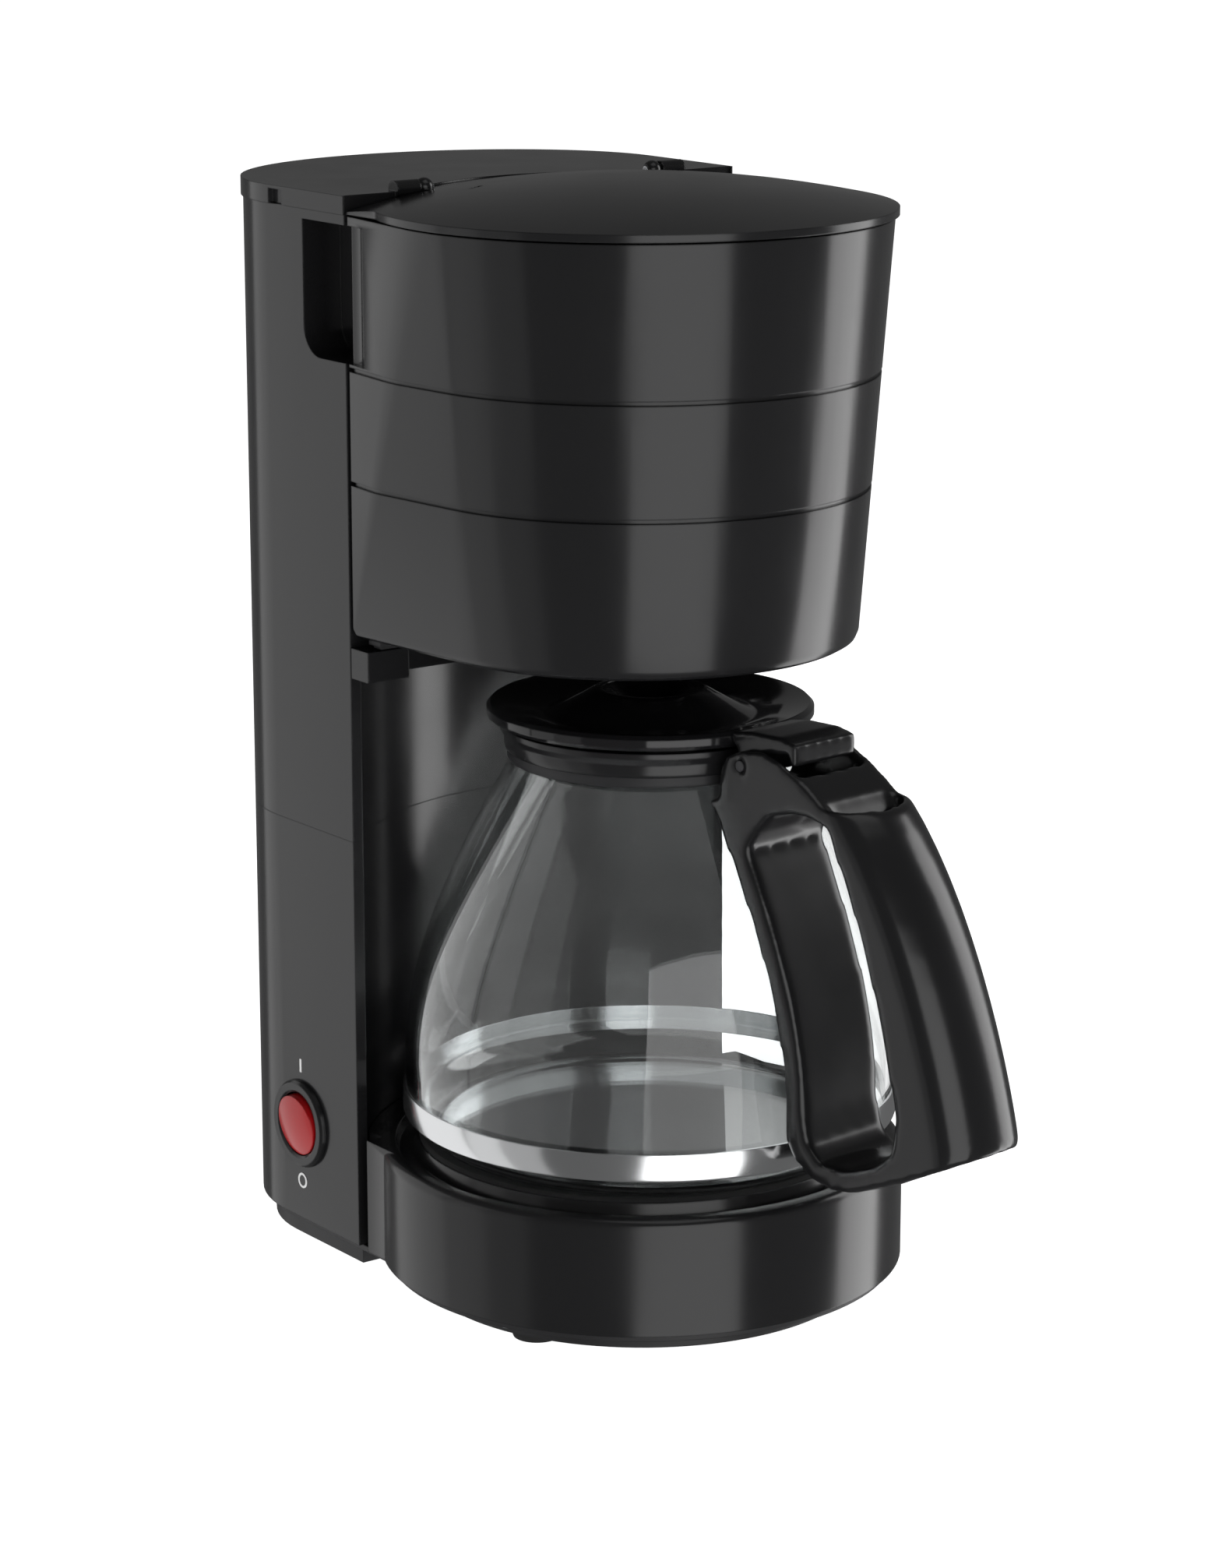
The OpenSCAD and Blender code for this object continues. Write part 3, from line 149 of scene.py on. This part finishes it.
def makeMaterial(name, color, rough, metallic=0.0, specular=0.5, grain=(900.0, 0.02),
                 wave=0.04, edge=0.0006, dustAmount=0.0, transmission=0.0, ior=1.5, coat=0.0):
    mat = bpy.data.materials.new(name)
    mat.use_nodes = True
    tree = mat.node_tree
    shader = tree.nodes["Principled BSDF"]
    shader.inputs["Metallic"].default_value = metallic
    shader.inputs["Specular IOR Level"].default_value = specular
    shader.inputs["IOR"].default_value = ior
    shader.inputs["Transmission Weight"].default_value = transmission
    shader.inputs["Coat Weight"].default_value = coat
    place = tree.nodes.new("ShaderNodeTexCoord")
    surface = tree.nodes.new("ShaderNodeGroup")
    surface.node_tree = moulded
    tree.links.new(place.outputs["Object"], surface.inputs["Vector"])
    for label, value in (("Grain Scale", grain[0]), ("Grain Height", grain[1]),
                         ("Wave Height", wave), ("Edge Radius", edge),
                         ("Rough Low", rough[0]), ("Rough High", rough[1])):
        surface.inputs[label].default_value = value
    tree.links.new(surface.outputs["Roughness"], shader.inputs["Roughness"])
    tree.links.new(surface.outputs["Normal"], shader.inputs["Normal"])
    if dustAmount > 0:
        lint = tree.nodes.new("ShaderNodeGroup")
        lint.node_tree = dust
        facing = tree.nodes.new("ShaderNodeNewGeometry")
        tree.links.new(place.outputs["Object"], lint.inputs["Vector"])
        tree.links.new(facing.outputs["Normal"], lint.inputs["Normal"])
        lint.inputs["Color"].default_value = (*color, 1.0)
        lint.inputs["Amount"].default_value = dustAmount
        tree.links.new(lint.outputs["Color"], shader.inputs["Base Color"])
    else:
        shader.inputs["Base Color"].default_value = (*color, 1.0)
    return mat


def glassMaterial(name, color, ior=1.45):
    mat = bpy.data.materials.new(name)
    mat.use_nodes = True
    shader = mat.node_tree.nodes["Principled BSDF"]
    shader.inputs["Base Color"].default_value = (*color, 1.0)
    shader.inputs["Roughness"].default_value = 0.0
    shader.inputs["IOR"].default_value = ior
    shader.inputs["Transmission Weight"].default_value = 1.0
    return mat


materials = {
    "black_plastic": makeMaterial("blackPlastic", (0.0085, 0.0085, 0.009), (0.16, 0.21),
                                  specular=0.42, dustAmount=0.03),
    "satin_plastic": makeMaterial("satinPlastic", (0.014, 0.014, 0.015), (0.42, 0.52),
                                  specular=0.35, grain=(1400.0, 0.12)),
    "rubber": makeMaterial("rubber", (0.013, 0.013, 0.013), (0.65, 0.8), specular=0.25,
                           grain=(1600.0, 0.2)),
    "silicone": makeMaterial("silicone", (0.42, 0.36, 0.32), (0.35, 0.45), specular=0.4),
    "coated_steel": makeMaterial("coatedSteel", (0.018, 0.018, 0.02), (0.28, 0.38),
                                 specular=0.5, grain=(2200.0, 0.1)),
    "aluminium": makeMaterial("aluminium", (0.62, 0.63, 0.65), (0.28, 0.4), metallic=1.0),
    "steel": makeMaterial("steel", (0.52, 0.53, 0.55), (0.22, 0.34), metallic=1.0),
    "chrome": makeMaterial("chrome", (0.8, 0.81, 0.82), (0.12, 0.17), metallic=1.0,
                           grain=(900.0, 0.0), wave=0.02, edge=0.0003),
    "brass": makeMaterial("brass", (0.6, 0.45, 0.2), (0.25, 0.35), metallic=1.0),
    "ceramic_plastic": makeMaterial("ceramicPlastic", (0.62, 0.58, 0.49), (0.45, 0.55)),
    "pale_plastic": makeMaterial("palePlastic", (0.63, 0.62, 0.56), (0.35, 0.45)),
    "red_insulation": makeMaterial("redInsulation", (0.25, 0.02, 0.02), (0.4, 0.5)),
    "red_plastic": makeMaterial("redPlastic", (0.33, 0.004, 0.006), (0.12, 0.18), specular=0.5,
                                wave=0.02),
    "white_print": makeMaterial("whitePrint", (0.75, 0.75, 0.75), (0.45, 0.5), edge=0.0),
    "glass": glassMaterial("clearGlass", (0.93, 0.945, 0.945)),
}
glossBlack = makeMaterial("glossBlack", (0.006, 0.006, 0.0065), (0.06, 0.1), specular=0.5,
                          grain=(900.0, 0.0), wave=0.02)
gripBlack = makeMaterial("gripBlack", (0.0075, 0.0075, 0.008), (0.17, 0.23), specular=0.45,
                         wave=0.03, dustAmount=0.02)
blackenedPin = makeMaterial("blackenedPin", (0.02, 0.02, 0.022), (0.3, 0.4), specular=0.4)
finishOf = {"carafe_lid": glossBlack, "lid_funnel": glossBlack, "carafe_handle": gripBlack,
            "thumb_lever": gripBlack, "lid_pin": blackenedPin}
print("materials made", len(materials) + 3)


def finishPiece(obj, nodes, body):
    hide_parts(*nodes)
    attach(obj, body)
    return obj


def addObject(name, mesh, mat):
    obj = bpy.data.objects.new(name, mesh)
    bpy.context.scene.collection.objects.link(obj)
    mesh.materials.clear()
    mesh.materials.append(mat)
    return obj


def camelName(node):
    first, *rest = node.split("_")
    return first + "".join(w.capitalize() for w in rest)


def smoothByAngle(mesh, degrees):
    bm = bmesh.new()
    bm.from_mesh(mesh)
    bmesh.ops.remove_doubles(bm, verts=bm.verts, dist=0.00002)
    bmesh.ops.dissolve_degenerate(bm, edges=bm.edges, dist=0.00001)
    limit = math.radians(degrees)
    for face in bm.faces:
        face.smooth = True
    for edge in bm.edges:
        edge.smooth = len(edge.link_faces) == 2 and edge.calc_face_angle(0.0) < limit
    bm.to_mesh(mesh)
    bm.free()


def skin(node, degrees=30.0):
    mesh = frame["nodes"][node].data.copy()
    mesh.name = camelName(node)
    for label in ("custom_normal", "sharp_face"):
        if label in mesh.attributes:
            mesh.attributes.remove(mesh.attributes[label])
    smoothByAngle(mesh, degrees)
    obj = addObject(camelName(node), mesh, finishOf.get(node, materials[slotOf[node]]))
    return finishPiece(obj, [node], bodyOf[node])


# soft moulded edges: the CAD solid is remeshed finely, then relaxed
roundedSettings = {"carafe_handle": {"voxel": 0.0008, "relax": 44},
                   "thumb_lever": {"voxel": 0.0005, "relax": 34}}


def rounded(node, settings):
    mesh = frame["nodes"][node].data.copy()
    obj = addObject(camelName(node), mesh, finishOf[node])
    remesh = obj.modifiers.new("remesh", "REMESH")
    remesh.mode = "VOXEL"
    remesh.voxel_size = settings["voxel"]
    remesh.use_smooth_shade = True
    relax = obj.modifiers.new("relax", "SMOOTH")
    relax.factor = 0.5
    relax.iterations = settings["relax"]
    evaluated = obj.evaluated_get(bpy.context.evaluated_depsgraph_get())
    result = bpy.data.meshes.new_from_object(evaluated)
    obj.modifiers.clear()
    obj.data = result
    result.name = camelName(node)
    result.materials.clear()
    result.materials.append(finishOf[node])
    return finishPiece(obj, [node], bodyOf[node])


for node, settings in roundedSettings.items():
    rounded(node, settings)

# radial ribs in the cup of the carafe's lid
ribSettings = {"Count": 18, "Inner Radius": 0.0062, "Length": 0.0068, "Thickness": 0.0007,
               "Height": 0.0016, "Slope": 0.66}
ribDrop = 0.0042  # from the funnel's rim down to the middle of a rib


def ribTree(settings):
    tree = bpy.data.node_groups.new("radialRibs", "GeometryNodeTree")
    tree.is_modifier = True
    ids = {}
    for label, value in settings.items():
        kind = "NodeSocketInt" if isinstance(value, int) else "NodeSocketFloat"
        ids[label] = tree.interface.new_socket(name=label, in_out="INPUT", socket_type=kind)
    ids["Material"] = tree.interface.new_socket(name="Material", in_out="INPUT",
                                                socket_type="NodeSocketMaterial")
    tree.interface.new_socket(name="Geometry", in_out="OUTPUT", socket_type="NodeSocketGeometry")
    new, link = tree.nodes.new, tree.links.new
    src, out = new("NodeGroupInput"), new("NodeGroupOutput")
    size = new("ShaderNodeCombineXYZ")
    for axis, label in (("X", "Length"), ("Y", "Thickness"), ("Z", "Height")):
        link(src.outputs[label], size.inputs[axis])
    bar = new("GeometryNodeMeshCube")
    link(size.outputs["Vector"], bar.inputs["Size"])
    tilt = new("ShaderNodeCombineXYZ")
    lean = new("ShaderNodeMath")
    lean.operation = "MULTIPLY"
    lean.inputs[1].default_value = -1.0
    link(src.outputs["Slope"], lean.inputs[0])
    link(lean.outputs["Value"], tilt.inputs["Y"])
    middle = new("ShaderNodeMath")
    middle.operation = "MULTIPLY_ADD"
    middle.inputs[1].default_value = 0.5
    link(src.outputs["Length"], middle.inputs[0])
    link(src.outputs["Inner Radius"], middle.inputs[2])
    reach = new("ShaderNodeCombineXYZ")
    link(middle.outputs["Value"], reach.inputs["X"])
    placed = new("GeometryNodeTransform")
    link(bar.outputs["Mesh"], placed.inputs["Geometry"])
    link(tilt.outputs["Vector"], placed.inputs["Rotation"])
    link(reach.outputs["Vector"], placed.inputs["Translation"])
    points = new("GeometryNodePoints")
    link(src.outputs["Count"], points.inputs["Count"])
    step = new("ShaderNodeMath")
    step.operation = "DIVIDE"
    step.inputs[0].default_value = 2 * math.pi
    link(src.outputs["Count"], step.inputs[1])
    index = new("GeometryNodeInputIndex")
    turn = new("ShaderNodeMath")
    turn.operation = "MULTIPLY"
    link(index.outputs["Index"], turn.inputs[0])
    link(step.outputs["Value"], turn.inputs[1])
    around = new("ShaderNodeCombineXYZ")
    link(turn.outputs["Value"], around.inputs["Z"])
    copies = new("GeometryNodeInstanceOnPoints")
    link(points.outputs["Points"], copies.inputs["Points"])
    link(placed.outputs["Geometry"], copies.inputs["Instance"])
    link(around.outputs["Vector"], copies.inputs["Rotation"])
    real = new("GeometryNodeRealizeInstances")
    link(copies.outputs["Instances"], real.inputs["Geometry"])
    paint = new("GeometryNodeSetMaterial")
    link(real.outputs["Geometry"], paint.inputs["Geometry"])
    link(src.outputs["Material"], paint.inputs["Material"])
    link(paint.outputs["Geometry"], out.inputs["Geometry"])
    return tree, {label: item.identifier for label, item in ids.items()}


def funnelRibs(settings):
    corners = [v.co for v in frame["nodes"]["lid_funnel"].data.vertices]
    middleX = (min(c.x for c in corners) + max(c.x for c in corners)) / 2
    middleY = (min(c.y for c in corners) + max(c.y for c in corners)) / 2
    top = max(c.z for c in corners)
    tree, ids = ribTree(settings)
    obj = addObject("funnelRibs", bpy.data.meshes.new("funnelRibs"), glossBlack)
    ribs = obj.modifiers.new("ribs", "NODES")
    ribs.node_group = tree
    for label, value in settings.items():
        ribs[ids[label]] = value
    ribs[ids["Material"]] = glossBlack
    evaluated = obj.evaluated_get(bpy.context.evaluated_depsgraph_get())
    mesh = bpy.data.meshes.new_from_object(evaluated)
    obj.modifiers.clear()
    for v in mesh.vertices:
        v.co += Vector((middleX, middleY, top - ribDrop))
    obj.data = mesh
    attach(obj, bodyOf["lid_funnel"])


funnelRibs(ribSettings)
print("rounded pieces and ribs made")

skinSettings = {"degrees": 30.0, "softer": {"carafe_lid": 38.0}}
for node in bodyOf:
    if node not in roundedSettings:
        skin(node, skinSettings["softer"].get(node, skinSettings["degrees"]))

# the valve spring gets a mesh of its own
spring = bpy.data.objects["valveSpring"]
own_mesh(spring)
print("skins made")


def lamp(name, azimuth, elevation, distance, size, power, target=(0.0, 0.0, 0.17)):
    data = bpy.data.lights.new(name, "AREA")
    data.shape = "RECTANGLE"
    data.size, data.size_y = size
    data.energy = power
    a, e = math.radians(azimuth), math.radians(elevation)
    back = Vector((math.sin(a) * math.cos(e), -math.cos(a) * math.cos(e), math.sin(e)))
    obj = bpy.data.objects.new(name, data)
    obj.location = Vector(target) + back * distance
    obj.rotation_euler = back.to_track_quat("Z", "Y").to_euler()
    bpy.context.scene.collection.objects.link(obj)
    return obj


stageSettings = {"floor": 14.0, "white": (0.93, 0.93, 0.93), "glow": 1.0, "seen": 1.0,
                 "ambient": 0.12}
floorMesh = bpy.data.meshes.new("paleFloor")
half = stageSettings["floor"] / 2
floorMesh.from_pydata([(-half, -half, 0), (half, -half, 0), (half, half, 0), (-half, half, 0)],
                      [], [(0, 1, 2, 3)])
floorMat = bpy.data.materials.new("paleFloor")
floorMat.use_nodes = True
floorShader = floorMat.node_tree.nodes["Principled BSDF"]
floorShader.inputs["Base Color"].default_value = (*stageSettings["white"], 1.0)
floorShader.inputs["Roughness"].default_value = 0.9
floorShader.inputs["Specular IOR Level"].default_value = 0.1
floorShader.inputs["Emission Color"].default_value = (1.0, 1.0, 1.0, 1.0)
floorShader.inputs["Emission Strength"].default_value = stageSettings["glow"]
floor = addObject("paleFloor", floorMesh, floorMat)
floor.visible_glossy = False  # upright gloss shows the lamps, not the floor
floor.visible_shadow = False

world = bpy.data.worlds.new("studio")
world.use_nodes = True
world.node_tree.nodes["Background"].inputs["Color"].default_value = (1.0, 1.0, 1.0, 1.0)
rays = world.node_tree.nodes.new("ShaderNodeLightPath")
direct = world.node_tree.nodes.new("ShaderNodeMath")
direct.operation = "MAXIMUM"
world.node_tree.links.new(rays.outputs["Is Camera Ray"], direct.inputs[0])
world.node_tree.links.new(rays.outputs["Is Transmission Ray"], direct.inputs[1])
level = addNode(world.node_tree, "ShaderNodeMapRange", To_Min=stageSettings["ambient"],
                To_Max=stageSettings["seen"])
world.node_tree.links.new(direct.outputs["Value"], level.inputs["Value"])
world.node_tree.links.new(level.outputs["Result"],
                          world.node_tree.nodes["Background"].inputs["Strength"])
bpy.context.scene.world = world

# azimuth, elevation, distance, width and height, watts
lampSettings = {
    "rightStrip": (71.0, -8.0, 1.7, (0.85, 3.0), 27.0),
    "frontBox": (-17.0, -8.0, 2.3, (1.85, 3.0), 32.0),
    "topBox": (10.0, 72.0, 1.9, (1.4, 1.2), 4.0),
    "leftBox": (-150.0, -5.0, 2.0, (1.5, 3.0), 11.0),
    "leftFade": (-117.0, -5.0, 2.0, (0.72, 3.0), 3.9),
    "leftFaint": (-96.0, -5.0, 2.0, (0.72, 3.0), 1.9),
}
for name, values in lampSettings.items():
    lamp(name, *values)

cameraSettings = {"place": (-0.7369, -0.97914, 0.4563), "azimuth": -36.63, "pitch": 13.93,
                  "lens": 98.64, "sensor": 36.0}
camData = bpy.data.cameras.new("mainCamera")
camData.lens = cameraSettings["lens"]
camData.sensor_width = cameraSettings["sensor"]
camData.sensor_fit = "AUTO"
camera = bpy.data.objects.new("mainCamera", camData)
camera.location = cameraSettings["place"]
camera.rotation_euler = (math.radians(90 - cameraSettings["pitch"]), 0.0,
                         math.radians(cameraSettings["azimuth"]))
bpy.context.scene.collection.objects.link(camera)
bpy.context.scene.camera = camera
bpy.context.scene.view_settings.view_transform = "Standard"
print("stage ready")
